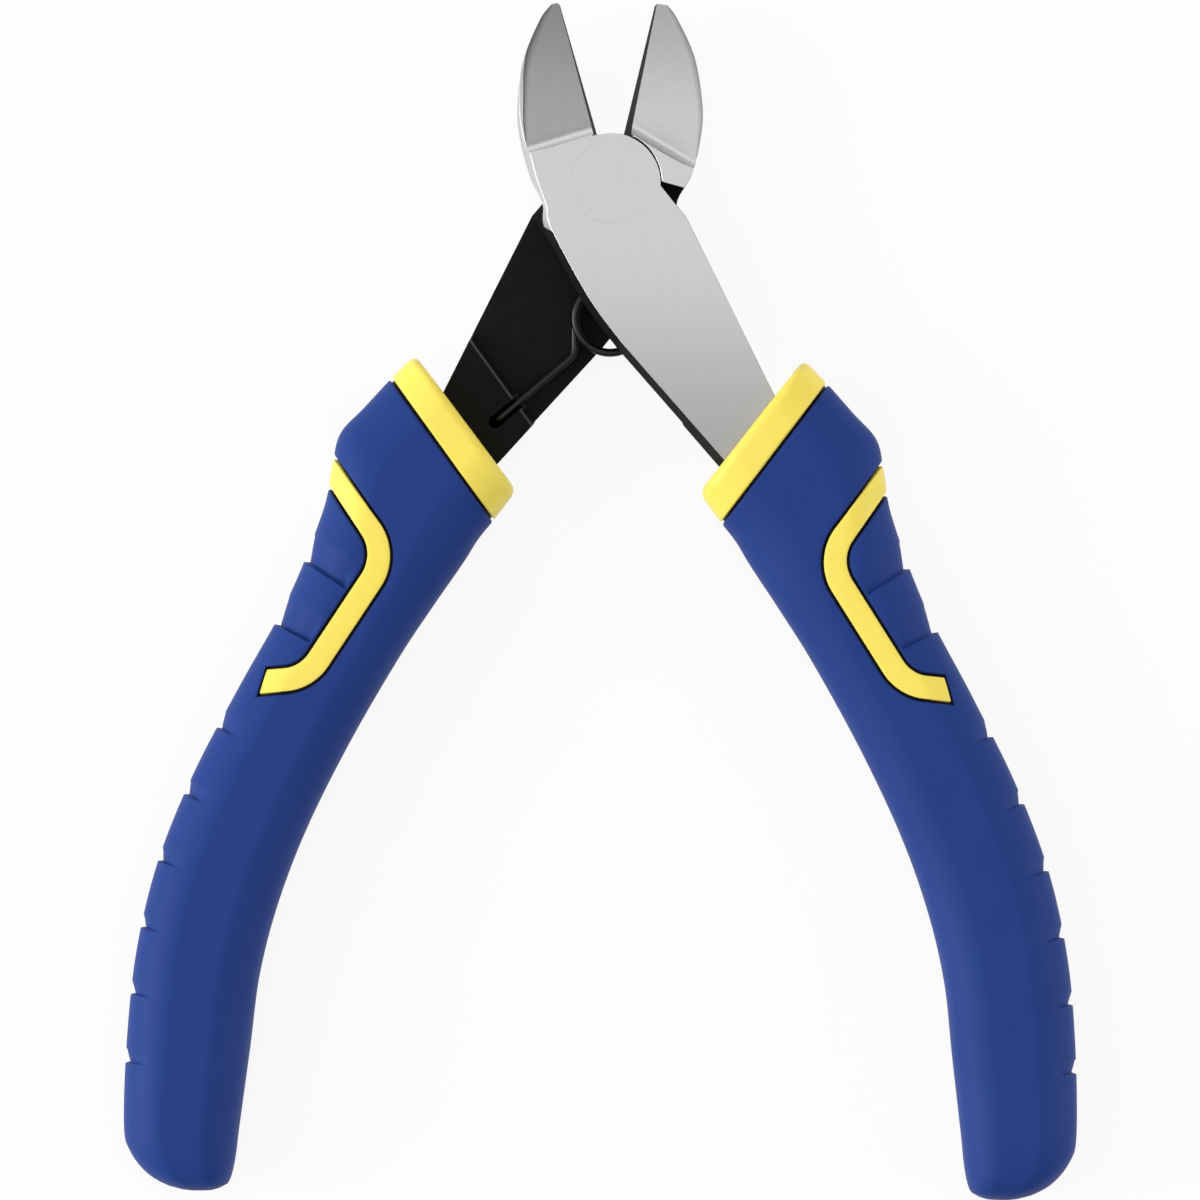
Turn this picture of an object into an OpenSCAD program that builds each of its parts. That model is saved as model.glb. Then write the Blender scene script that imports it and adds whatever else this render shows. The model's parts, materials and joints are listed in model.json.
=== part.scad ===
// Small spring-opened flush cutter, lying on its back with the jaws towards +Y.
// Two lapped steel halves turn on one rivet, a wire spring holds them open, and
// each handle has a hard core with a collar and stripe under a soft cover.
// All sizes are in millimetres.

/* [Joint] */
// Thickness of the joint from its front face to its back face
joint_thick = 7.0; // [5:0.1:9]
// Radius of the lap disc on each half
disc_r = 4.45; // [3.5:0.05:6]
// Gap between a disc and the other half's curved shoulder
disc_gap = 0.12; // [0.05:0.01:0.4]
// Gap between the two lap faces
lap_gap = 0.06; // [0.02:0.01:0.2]
// Turn of each half from open to closed, in degrees
half_swing = 14.8; // [8:0.1:20]
// Lean of the cutting line off the handles' middle line, in degrees
head_lean = 1.9; // [0:0.1:4]
// Slope of the forged sides, as the inset of the front face's edge
side_draft = 0.65; // [0:0.05:1]

/* [Rivet] */
// Radius of the rivet's shank
shank_r = 2.4; // [1.5:0.1:3]
// Radius of the countersunk head at the ground face
head_r = 3.7; // [2.5:0.1:4.2]
// Depth of the countersunk head
head_deep = 1.4; // [0.8:0.1:2.5]
// Running clearance round the rivet
rivet_gap = 0.05; // [0.01:0.01:0.1]

/* [Jaws] */
// Length of the left cutting edge's line from the pivot to the tip
left_long = 17.15; // [12:0.05:22]
// Length of the right cutting edge's line from the pivot to the tip
right_long = 16.9; // [12:0.05:22]
// Height of the ground scoop at the inner end of the cutting edge, from the joint's middle
scoop_z = 0.9; // [-1:0.1:2]
// Tilt of the ground scoop across the jaw, in degrees
scoop_tilt = 16; // [5:1:30]
// Fall of the ground scoop towards the tip, in degrees
scoop_fall = 9; // [0:1:15]
// Radius that the grinding wheel leaves at the scoop's inner end
wheel_r = 1.3; // [0.5:0.1:3]
// Rise of the flush back face towards the tip, in degrees
flush_rise = 7.6; // [0:0.1:12]
// Distance from the pivot at which the flush face starts
flush_start = 5.0; // [4:0.1:8]
// Lean of the land behind the left jaw's cutting edge, in degrees
left_land = 3.5; // [0:0.5:15]
// Lean of the land behind the right jaw's cutting edge, in degrees
right_land = 7; // [0:0.5:15]
// Half of the gap left between the closed edges
edge_gap = 0.03; // [0.01:0.01:0.1]

/* [Tangs] */
// Radius of the round pad that the lap faces meet on
pad_r = 6.2; // [5:0.1:7.5]
// Height of the spring pocket's floor off the joint's middle
pocket_z = 1.5; // [1:0.1:2.2]
// Height of the tang's thick end off the joint's middle
thick_z = 0.3; // [0.1:0.1:1]
// Slope of the step at the pocket's end, in degrees
step_slope = 68; // [30:1:85]
// Half thickness of the shank inside the grip
stem_z = 1.6; // [1:0.1:2.5]

/* [Spring] */
// Thickness of the spring wire
wire_d = 0.75; // [0.5:0.05:1]
// Radius of the spring's curls at the middle of the wire
coil_r = 3.15; // [2:0.05:4]
// Distance of the curls' centre below the pivot
coil_drop = 12.28; // [10:0.1:15]
// Rise of the wire in one full curl
coil_pitch = 1.2; // [1.15:0.01:1.3]

/* [Grips] */
// Half thickness of a grip
grip_z = 5.2; // [4:0.1:7]
// Wall of the soft cover at its sides
cover_wall = 1.5; // [0.8:0.1:2.5]
// Wall of the soft cover at its faces
cover_face = 1.2; // [0.8:0.1:2]
// Squareness of a grip's section
section_power = 3.2; // [2:0.1:5]
// Gap between the pieces moulded over each other
mould_gap = 0.05; // [0.02:0.01:0.1]
// Width of the stripe that shows through the cover
stripe_w = 2.3; // [1.5:0.1:4]
// Width of the parting line along the stripe
stripe_gap = 0.2; // [0.1:0.05:0.4]
// Depth of the two wide thumb grooves
groove_deep = 0.6; // [0:0.1:1.2]
// Depth of the small finger notches
notch_deep = 0.45; // [0:0.05:1]

/* [Placing] */
// Distance from the pivot up to the middle of the whole length
pivot_y = 37.8; // [30:0.1:45]

/* [Hidden] */
$fn = 64;
far = 60;
half_thick = joint_thick / 2;
lap_z = lap_gap / 2;
draft_z = 1.4;
wire_r = wire_d / 2;
steel_grey = [0.78, 0.78, 0.79];
wire_black = [0.06, 0.06, 0.06];
core_yellow = [0.96, 0.78, 0.16];
cover_blue = [0.05, 0.10, 0.28];

// Outer side of the jaw, from the tip down to the neck, with no lean
jaw_side = [[-5.4, 16.1], [-6.3, 14.8], [-7.8, 11.2], [-8.42, 6.8], [-8.2, 3.9], [-7.35, 0.6]];
neck_y = -1.8;
// What differs between the two halves: the lean and length of the cutting edge, the
// place of the neck across the tool, and how far the hip stands out
front_form = [head_lean, left_long, -6.3, -0.1];
rear_form = [-head_lean, right_long, -5.95, 0.3];
// Where each scoop starts along the cutting edge, and the turn of its inner end
left_scoop = [5.7, -1];
right_scoop = [6.2, -17];
// Lean of the wall at the scoop's inner end
wall_lean = 6;
// Distance from the disc at which the land behind the cutting edge starts
land_gap = 0.05;
// Lower edge of the shoulder that a jaw leaves in the other half's layer
shoulder_line = [[-3, 0.5], [-9, -1.1]];
// How much less the forged side slopes at the neck, and the length of that stretch
neck_less = 0.4;
neck_run = 1.6;
// Inner side of the tang, from the joint down to the collar
tang_side = [[-5.9, -4.6], [-2.5, -10.85], [0.6, -15.0]];
// Ends of the tang inside the collar, and its straight outer edge
tang_in = [11.7, -27.5];
tang_out = [16.2, -21.5];
hip = [[6.9, -3.05], [5.79, -1.75]];
hip_angle = -3;
// Turn of the tang off the tool's middle line
tang_turn = 29.5;
// End of the spring pocket, measured along the tang, and its slant
pocket_end = 20.5;
pocket_slant = 24;
// Hole that a spring leg is hooked in
hook_at = [10.33, -21.85];
hook_r = wire_r + 0.2;
hook_end = 2.6;
hook_bend = 0.9;
leg_z = coil_pitch * 0.75;
leg_turn = 40.9;
leg_bend = 1.5;

// Middle line and half widths of the shank inside the grip
stem_line = [[13.6, -24.0], [17.7, -30.5], [22.1, -38.5], [26.8, -46.8],
             [31.0, -55.0], [34.2, -62.8], [36.3, -70.5], [37.3, -78.0]];
stem_wide = 3.2;
stem_thin = 2.2;

// Pairs of points on the outer and inner edge of the right grip, from the
// collar's end to the butt
grip_out = [[17.65, -15.85], [19.85, -18.05], [22.2, -20.65], [24.4, -23.1], [25.1, -26.2], [25.9, -30.2],
            [28.9, -38.0], [33.2, -46.0], [37.3, -54.0], [40.45, -62.0], [42.3, -70.0], [43.1, -78.0],
            [43.3, -86.0], [42.7, -88.5], [41.1, -90.5], [39.0, -91.65], [37.2, -92.0]];
grip_in = [[8.3, -28.05], [10.4, -30.85], [11.7, -32.5], [12.8, -34.3], [14.0, -36.1], [15.7, -38.6],
           [18.8, -43.4], [23.1, -51.0], [26.9, -58.8], [29.5, -65.8], [31.1, -72.3], [31.9, -79.0],
           [32.8, -86.2], [33.05, -88.5], [33.4, -90.4], [33.9, -91.45], [35.2, -91.95]];
// Where the butt starts to fall, where it ends, and its height left there
butt_from = 12;
butt_to = 16;
butt_left = 0.3;
// Sides of a section, and how full its flat faces are
sides = 16;
face_full = 1.08;
groove_at = [5.59, 6.29];
groove_run = 0.26;
notch_at = [for (k = [0:5]) 7.47 + 0.76 * k];
notch_run = 0.14;
step_run = 0.03;
sleeve_end = 11.8;

// Corners of the stripe's middle line and the radii that round them
stripe_line = [[26.8, -24.3], [19.8, -34.0], [27.1, -45.3], [31.0, -45.65]];
stripe_round = [0, 4.2, 2.5, 0];
// Slant of its lower end, in degrees
stripe_slant = 22;

function turned(p, a) = [p[0] * cos(a) - p[1] * sin(a), p[0] * sin(a) + p[1] * cos(a)];

function unit(v) = v / norm(v);

// Smooth curve through four points, between the middle two
function through(a, b, c, d, t) =
    b + 0.5 * t * ((c - a) + t * ((2 * a - 5 * b + 4 * c - d) + t * (3 * b - a - 3 * c + d)));

function on_curve(p, t) =
    let (i = min(floor(t), len(p) - 2))
    through(p[max(i - 1, 0)], p[i], p[i + 1], p[min(i + 2, len(p) - 1)], t - i);

// Points of an arc about the pivot
function arc(r, from, to, n) =
    [for (i = [0:n]) let (a = from + (to - from) * i / n) r * [cos(a), sin(a)]];

function smooth(p, n) = [for (i = [0:n * (len(p) - 1)]) on_curve(p, i / n)];

// A corner of a line rounded with a radius, as points
function rounded(a, b, c, r, n) =
    let (u = unit(a - b), v = unit(c - b), half = acos(u * v) / 2, m = b + unit(u + v) * r / sin(half),
         p = b + u * r / tan(half), q = b + v * r / tan(half), from = atan2(p[1] - m[1], p[0] - m[0]),
         to = atan2(q[1] - m[1], q[0] - m[0]), sweep = (to - from + 540) % 360 - 180)
    [for (i = [0:n]) m + r * [cos(from + sweep * i / n), sin(from + sweep * i / n)]];

function outward(p, i) =
    let (n = len(p), v = unit(p[min(i + 1, n - 1)] - p[max(i - 1, 0)])) [-v[1], v[0]];

// Band of one width, or of a width that changes along it, on a middle line
function band(p, w0, w1) =
    let (n = len(p) - 1)
    concat([for (i = [0:n]) p[i] + outward(p, i) * (w0 + (w1 - w0) * i / n)],
           [for (i = [n:-1:0]) p[i] - outward(p, i) * (w0 + (w1 - w0) * i / n)]);

// Outer side of the jaw and inner side of the tang as one curve
function flank(form) =
    let (head = concat(jaw_side, [[form[2], neck_y]]))
    concat(smooth(concat([for (p = head) turned(p, form[0])], tang_side), 8), [tang_in]);

// Outline of one half, counter-clockwise from the tip
function half_outline(form) =
    let (edge = half_swing + form[0], far_tip = form[1] * [-sin(edge), cos(edge)])
    concat(flank(form), [tang_out], [for (p = hip) p + [form[3], 0]],
           arc(disc_r, hip_angle, 90 + edge, 24),
           [far_tip * 0.983, far_tip - [0.2, 0.08], far_tip - [0.67, 0.18]]);

// Inset of the flank's upper edge at one place, which narrows at the neck
function draft_at(p) = side_draft - neck_less / (1 + pow((p[1] - neck_y) / neck_run, 2));

// What the forging's draft takes off the flank, as one long wedge
module flank_draft(form) {
    line = flank(form);
    last = len(line) - 1;
    high = half_thick - draft_z;
    tube([for (i = [0:last])
        let (v = outward(line, i), q = i == 0 ? line[0] * 1.05 : i == last ? line[i] + [1, -1] : line[i],
             inset = draft_at(line[i]), rise = inset / high,
             wedge = [[-2, -1], [-rise, -1], [inset + rise, high + 1], [-2, high + 1]])
        [for (w = wedge) [q[0] + v[0] * w[0], q[1] + v[1] * w[0], draft_z + w[1]]]]);
}

module placed() {
    translate([0, pivot_y, grip_z]) children();
}

// The forged half before its jaw is ground: left jaw, front disc, right tang
module blank(form) {
    difference() {
        union() {
            difference() {
                translate([0, 0, lap_z]) linear_extrude(half_thick - lap_z) polygon(half_outline(form));
                flank_draft(form);
                spring_pocket();
            }
            far_jaw(form);
            stem(0);
        }
        rivet_shape(rivet_gap);
    }
}

// The jaw's part in the other half's layer, clear of the other disc
module far_jaw(form) {
    beyond = [[-far, -far / 2], [-far, far], [far, far], [far, shoulder_line[0][1]]];
    translate([0, 0, -half_thick]) linear_extrude(half_thick + draft_z / 2) difference() {
        intersection() {
            polygon(half_outline(form));
            polygon(concat(shoulder_line, beyond));
        }
        circle(disc_r + disc_gap);
    }
}

module stem(gap) {
    translate([0, 0, -stem_z - gap]) linear_extrude(2 * (stem_z + gap))
        polygon(band(smooth(stem_line, 3), stem_wide + gap, stem_thin + gap));
}

// Room for the curls between the lap pad and the tang's thick end
module spring_pocket() {
    rotate(tang_turn) difference() {
        translate([-far / 2, -far, -1]) cube([far, far - 3, pocket_z + 1]);
        translate([0, 0, lap_z]) cylinder(r1 = pad_r, r2 = pad_r + pocket_z, h = pocket_z);
        translate([0, -pocket_end, thick_z]) rotate(pocket_slant) rotate([step_slope - 90, 0, 0])
            translate([-far, -2 * far, -far]) cube([2 * far, 2 * far, 2 * far]);
    }
    translate([-far, -far - 12, -1]) cube([2 * far, far, thick_z + 1]);
    leg_groove();
}

// Groove that a spring leg lies in, and the hole at its end
module leg_groove() {
    translate([hook_at[0], hook_at[1], -1]) {
        cylinder(r = hook_r, h = hook_end + 1.3);
        rotate(180 - leg_turn) translate([0, -hook_r, 0]) cube([9, 2 * hook_r, pocket_z + 1]);
    }
}

// Rivet with a countersunk head at both faces
module rivet_shape(gap) {
    cylinder(r = shank_r + gap, h = 2 * half_thick + 2 * gap, center = true);
    for (side = [0, 180])
        rotate([side, 0, 0]) translate([0, 0, half_thick - head_deep])
            cylinder(r1 = shank_r + gap, r2 = head_r + gap, h = head_deep);
}

// Side view of the grinding wheel's path: the flat scoop, the wheel's radius and
// the wall above it
wheel_path = concat([[far, 0]],
    [for (i = [0:8]) let (a = (90 - wall_lean) * i / 8) wheel_r * [-sin(a), 1 - cos(a)]],
    [wheel_r * [-cos(wall_lean), 1 - sin(wall_lean)] + joint_thick * [-sin(wall_lean), cos(wall_lean)],
     [far, joint_thick]]);

// What grinding takes off a jaw, right (1) or left (-1): the front scoop, the
// flush back face and the land behind the cutting edge
module ground_off(side, edge, scoop, land) {
    rotate(-side * edge) {
        translate([0, scoop[0], scoop_z])
            rotate([0, -side * scoop_tilt, 0]) rotate([-scoop_fall, 0, side * scoop[1]]) rotate([90, 0, 90])
                translate([0, 0, -far / 2]) linear_extrude(far) polygon(wheel_path);
        translate([0, flush_start, -half_thick]) rotate([flush_rise, 0, 0])
            translate([-far / 2, 0, -far]) cube([far, far, far]);
        intersection() {
            translate([-far / 2, disc_r + land_gap, -far / 2]) cube([far, far, far]);
            translate([side * edge_gap, flush_start, -half_thick]) rotate([flush_rise, 0, 0])
                rotate([0, side * land, 0]) translate([-(side + 1) * far / 2, -far / 4, -far / 2]) cube(far);
        }
    }
}

module front_half() {
    color(steel_grey) placed() difference() {
        blank(front_form);
        ground_off(-1, half_swing + head_lean, left_scoop, left_land);
    }
}

module rear_half() {
    color(steel_grey) placed() difference() {
        rotate([0, 180, 0]) blank(rear_form);
        ground_off(1, half_swing - head_lean, right_scoop, right_land);
    }
}

module pivot_rivet() {
    color(steel_grey) placed() rivet_shape(0);
}

// Wire of the spring as [x, y, z, heading, pitch], from the left hook to the
// lowest point of the curls
leg_dir = [cos(leg_turn), sin(leg_turn)];
leg_corner = [-coil_r, hook_at[1] + (hook_at[0] - coil_r) * tan(leg_turn)];
leg_reach = leg_bend * tan((90 - leg_turn) / 2);
half_wire = concat(
    [for (i = [0:2])
        [-hook_at[0], hook_at[1], -hook_end + (hook_end - leg_z - hook_bend) * i / 2, leg_turn, 90]],
    [for (i = [1:4])
        let (a = 90 * i / 4, r = hook_bend * (1 - cos(a)))
        [-hook_at[0] + r * leg_dir[0], hook_at[1] + r * leg_dir[1],
         -leg_z - hook_bend * (1 - sin(a)), leg_turn, 90 - a]],
    [for (i = [0:4])
        let (a = (90 - leg_turn) * i / 4)
        [leg_corner[0] - leg_bend * (1 - sin(leg_turn + a)),
         leg_corner[1] + leg_reach - leg_bend * cos(leg_turn + a), -leg_z, leg_turn + a, 0]],
    [for (i = [0:18])
        let (a = 180 - 15 * i)
        [coil_r * cos(a), -coil_drop + coil_r * sin(a), -leg_z + coil_pitch * i / 24, a - 90, 0]]);
whole_wire = concat(half_wire, [for (i = [len(half_wire) - 2:-1:0])
    let (w = half_wire[i]) [-w[0], w[1], -w[2], -w[3], w[4]]]);
wire_sides = 8;

function wire_ring(w) =
    let (side = [-sin(w[3]), cos(w[3]), 0],
         up = [-sin(w[4]) * cos(w[3]), -sin(w[4]) * sin(w[3]), cos(w[4])])
    [for (k = [0:wire_sides - 1])
        let (a = 360 * (k + 0.5) / wire_sides)
        [w[0], w[1], w[2]] + wire_r * (cos(a) * side + sin(a) * up)];

// Least gap between two stretches of the wire that are not neighbours
function spot(w) = [w[0], w[1], w[2]];
wire_gap = min([for (i = [0:len(whole_wire) - 1], j = [i + 9:1:len(whole_wire) - 1])
    norm(spot(whole_wire[i]) - spot(whole_wire[j]))]) - wire_d;
echo(least_gap_of_the_wire = wire_gap);

// Skin over a list of rings, closed at both ends
function skin(first, rings, n) =
    [for (i = [0:rings - 2], k = [0:n - 1], s = [0, 1])
        let (a = first + i * n, b = a + n, m = (k + 1) % n)
        s == 0 ? [a + k, b + k, b + m] : [a + k, b + m, a + m]];

function cap(first, n) = [[for (k = [0:n - 1]) first + k]];

function flipped(faces) = [for (f = faces) [for (k = [len(f) - 1:-1:0]) f[k]]];

module tube(rings) {
    n = len(rings[0]);
    polyhedron([for (r = rings, p = r) p],
        concat(skin(0, len(rings), n), cap(0, n), flipped(cap((len(rings) - 1) * n, n))), 4);
}

module return_spring() {
    color(wire_black) placed() tube([for (w = whole_wire) wire_ring(w)]);
}

// Depth of a saw tooth that deepens over a run and ends in a step
function tooth(back, run, deep) = back > -run && back <= 0 ? deep * (1 + back / run) : 0;

// Depth of the grooves and notches at one place along a grip
function cut_depth(t) =
    max([for (g = groove_at) tooth(t - g, groove_run, groove_deep),
         for (g = notch_at) tooth(t - g, notch_run, notch_deep)]);

function power(v, e) = sign(v) * pow(abs(v), e);

// Height of a grip as a share, falling on a quarter of an ellipse at the butt
function butt_fall(t) =
    let (past = max(0, t - butt_from) / (butt_to - butt_from))
    sqrt(1 - past * past * (1 - butt_left * butt_left));

// One section of the right grip: place along it, inset of its sides, half
// thickness, and whether the grooves are cut
function section(t, inset, high, cut) =
    let (o = on_curve(grip_out, t), i = on_curve(grip_in, t), m = (o + i) / 2, e = unit(o - i),
         w = norm(o - i) / 2 - inset, h = high * butt_fall(t), d = cut ? cut_depth(t) : 0)
    [for (k = [0:sides - 1])
        let (a = 360 * k / sides, c = power(cos(a), 2 / section_power), s = power(sin(a), 2 / section_power),
             x = w * c - (c > 0 ? d * c : 0), z = max(-1, min(1, face_full * s)) * h)
        [m[0] + e[0] * x, m[1] + e[1] * x, z]];

// Places along the grip at which the cover, the sleeve, the collar and the stripe
// have a section
cover_steps = concat([1.12, 1.6, 2, 2.4, 2.7, 3, 3.3, 3.6, 4, 4.5, 5],
    [for (g = groove_at, d = [-groove_run, 0, step_run]) g + d], [6.65, 7],
    [for (g = notch_at, d = [-notch_run, 0, step_run, 0.34]) g + d], [for (i = [0:8]) butt_from + i / 2]);
sleeve_steps = concat([1, 1.6], [for (i = [4:22]) i / 2], [11.4]);
collar_steps = [0, 0.05, 0.12, 0.22, 0.35, 0.88, 0.95, 0.98];
stripe_steps = concat([2.2, 2.7, 3, 3.3, 3.6], [for (i = [8:16]) i / 2]);
// Inset of the collar's sections, which rounds it
collar_inset = [1.1, 0.65, 0.35, 0.12, 0, 0, 0.06, 0.2];
// Inset of the cover's lip beside the collar
lip_inset = 0.3;

module cover_body() {
    n = sides;
    lip = section(1, lip_inset, grip_z - lip_inset, false);
    outer = concat([lip], [for (t = cover_steps) section(t, 0, grip_z, true)]);
    wall = cover_wall - mould_gap;
    high = grip_z - cover_face + mould_gap;
    inner = [for (t = concat(sleeve_steps, [sleeve_end + 0.02])) section(t, wall, high, false)];
    first = len(outer) * n;
    rim = [for (k = [0:n - 1], s = [0, 1])
        let (m = (k + 1) % n) s == 0 ? [k, m, first + m] : [k, first + m, first + k]];
    polyhedron([for (r = concat(outer, inner), p = r) p],
        concat(skin(0, len(outer), n), flipped(cap(first - n, n)), flipped(skin(first, len(inner), n)),
               cap(first + (len(inner) - 1) * n, n), rim), 4);
}

module core_body() {
    collar = [for (i = [0:len(collar_steps) - 1])
        section(collar_steps[i], collar_inset[i], grip_z - collar_inset[i], false)];
    high = grip_z - cover_face;
    sleeve = [for (t = concat(sleeve_steps, [sleeve_end])) section(t, cover_wall, high, false)];
    tube(concat(collar, sleeve));
}

// The stripe's outline through the whole grip, widened by a gap, with its lower
// end cut along the grip's outer edge
module stripe(gap) {
    p = stripe_line;
    tail = unit(p[3] - p[2]);
    half = stripe_w / 2 + gap;
    line = concat([p[0]], rounded(p[0], p[1], p[2], stripe_round[1], 8),
                  rounded(p[1], p[2], p[3], stripe_round[2], 5), [p[3] + stripe_w * tail]);
    translate([0, 0, -far / 2]) linear_extrude(far) difference() {
        polygon(band(line, half, half));
        translate(p[3]) rotate(atan2(tail[1], tail[0]) + stripe_slant)
            translate([gap, -far / 2]) square([far, far]);
    }
}

// Smooth outside of the grip along the stripe
module stripe_skin() {
    tube([for (t = stripe_steps) section(t, 0, grip_z, false)]);
}

module grip_core() {
    difference() {
        union() {
            core_body();
            intersection() {
                stripe(0);
                stripe_skin();
            }
        }
        stem(mould_gap);
        tang_slot();
    }
}

// Pocket in the collar for the end of the tang
module tang_slot() {
    inner_start = (3 * tang_side[2] + 2 * tang_in) / 5;
    outer_start = (hip[0] + [rear_form[3], 0] + tang_out) / 2;
    translate([0, 0, thick_z - mould_gap]) linear_extrude(half_thick - thick_z + 2 * mould_gap)
        offset(delta = mould_gap) polygon([inner_start, tang_in, tang_out, outer_start]);
}

module grip_cover() {
    difference() {
        cover_body();
        stripe(stripe_gap);
    }
}

module right_grip_core() {
    color(core_yellow) placed() grip_core();
}

module right_grip_cover() {
    color(cover_blue) placed() grip_cover();
}

module left_grip_core() {
    color(core_yellow) placed() rotate([0, 180, 0]) grip_core();
}

module left_grip_cover() {
    color(cover_blue) placed() rotate([0, 180, 0]) grip_cover();
}

front_half();
rear_half();
pivot_rivet();
return_spring();
right_grip_core();
right_grip_cover();
left_grip_core();
left_grip_cover();
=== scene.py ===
import json
from math import radians

import bmesh
import bpy
import numpy as np
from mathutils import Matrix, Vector
from mathutils.geometry import delaunay_2d_cdt


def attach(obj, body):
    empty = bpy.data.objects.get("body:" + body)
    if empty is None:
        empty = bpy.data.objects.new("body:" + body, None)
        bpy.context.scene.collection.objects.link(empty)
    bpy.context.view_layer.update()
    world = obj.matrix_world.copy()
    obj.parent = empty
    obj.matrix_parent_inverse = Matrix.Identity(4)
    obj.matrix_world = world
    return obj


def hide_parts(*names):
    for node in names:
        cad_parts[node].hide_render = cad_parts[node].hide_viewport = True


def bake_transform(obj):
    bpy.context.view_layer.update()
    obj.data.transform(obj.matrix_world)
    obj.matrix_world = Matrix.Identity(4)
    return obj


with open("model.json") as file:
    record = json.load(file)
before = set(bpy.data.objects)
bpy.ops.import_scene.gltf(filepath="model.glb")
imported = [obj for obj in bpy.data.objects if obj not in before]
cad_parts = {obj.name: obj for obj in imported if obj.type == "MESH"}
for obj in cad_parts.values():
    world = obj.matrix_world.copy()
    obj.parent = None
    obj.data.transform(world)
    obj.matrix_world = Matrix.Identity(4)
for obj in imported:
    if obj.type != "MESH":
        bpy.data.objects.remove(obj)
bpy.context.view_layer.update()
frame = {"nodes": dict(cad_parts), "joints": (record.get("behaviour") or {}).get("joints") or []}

# The two halves are drop-forged tool steel, blackened all over in hot oxide. The
# joint's outer faces, the jaws and the head's flanks are then ground bright. Sizes are
# millimetres from the rivet's middle, with the tips towards +Y and the front towards +Z.
mm = 0.001
rivet_at = np.array(frame["joints"][0]["pos_m"])
half_thick = 3.5
# Bounds of the jaw, the head's flank and the step in the tang, on the half whose jaw is at -X
jaw_start, tip_start, flank_x, step_y = 1.5, 15.9, -4.0, -10.0
# Point and direction of the cut across the neck where the flank's grinding stops
neck_cut, neck_way = (-5.9, -4.2, 0), (0.54, 0.84, 0)
# Strip of painted shade along the jaw's rim, bright margin beside it, and the least area of a jaw's hollow
rim_wide, rim_points, rim_fullness = 0.6, 54, 0.4
margin_drop, margin_fullness = 0.16, 0.8
least_hollow = 20
# Eased line along the step, its share of black, kept under full so that it is painted lighter as a highlight,
# and the least area of the faces beside it
step_round, step_highlight_black, least_step = 0.16, 0.88, 1.0
# Where the painted shade towards the tips and along the tangs starts and where it is full along the shared
# frame, and its share there
tips_from, tips_to, tip_shade = 43.0, 54.5, 0.30
tangs_from, tangs_to, tang_shade = 33.0, 12.0, 0.36
# Points this close are one, edges this short are dissolved, and edges are eased by this radius
same_point, least_edge, edge_round = 0.002, 0.04, 0.05
# Degrees between faces that are one flat, that still look smooth, and that are eased
flat_angle, smooth_angle, eased_angle = 0.4, 24, 30


def in_frame(points):
    """Millimetres from the rivet's middle to metres in the shared frame."""
    return rivet_at + mm * np.asarray(points, float)


def linear(code):
    """A colour written as an sRGB hex code, as linear red, green, blue and alpha."""
    part = np.array([int(code[i:i + 2], 16) for i in (1, 3, 5)]) / 255
    low = part / 12.92
    high = ((part + 0.055) / 1.055) ** 2.4
    return (*np.where(part > 0.04045, high, low), 1.0)


def add(tree, kind, inputs=(), **settings):
    """Adds a shader node, gives it its settings, and fills its inputs with links or values."""
    made = tree.nodes.new("ShaderNode" + kind)
    for key, value in settings.items():
        setattr(made, key, value)
    for key, value in dict(inputs).items():
        if isinstance(value, bpy.types.NodeSocket):
            tree.links.new(value, made.inputs[key])
        else:
            made.inputs[key].default_value = value
    return made


def blank_material(name):
    """A new material with its node tree, its Principled shader and its Object coordinates."""
    material = bpy.data.materials.new(name)
    material.use_nodes = True
    tree = material.node_tree
    return material, tree, tree.nodes["Principled BSDF"], add(tree, "TexCoord").outputs["Object"]


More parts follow.
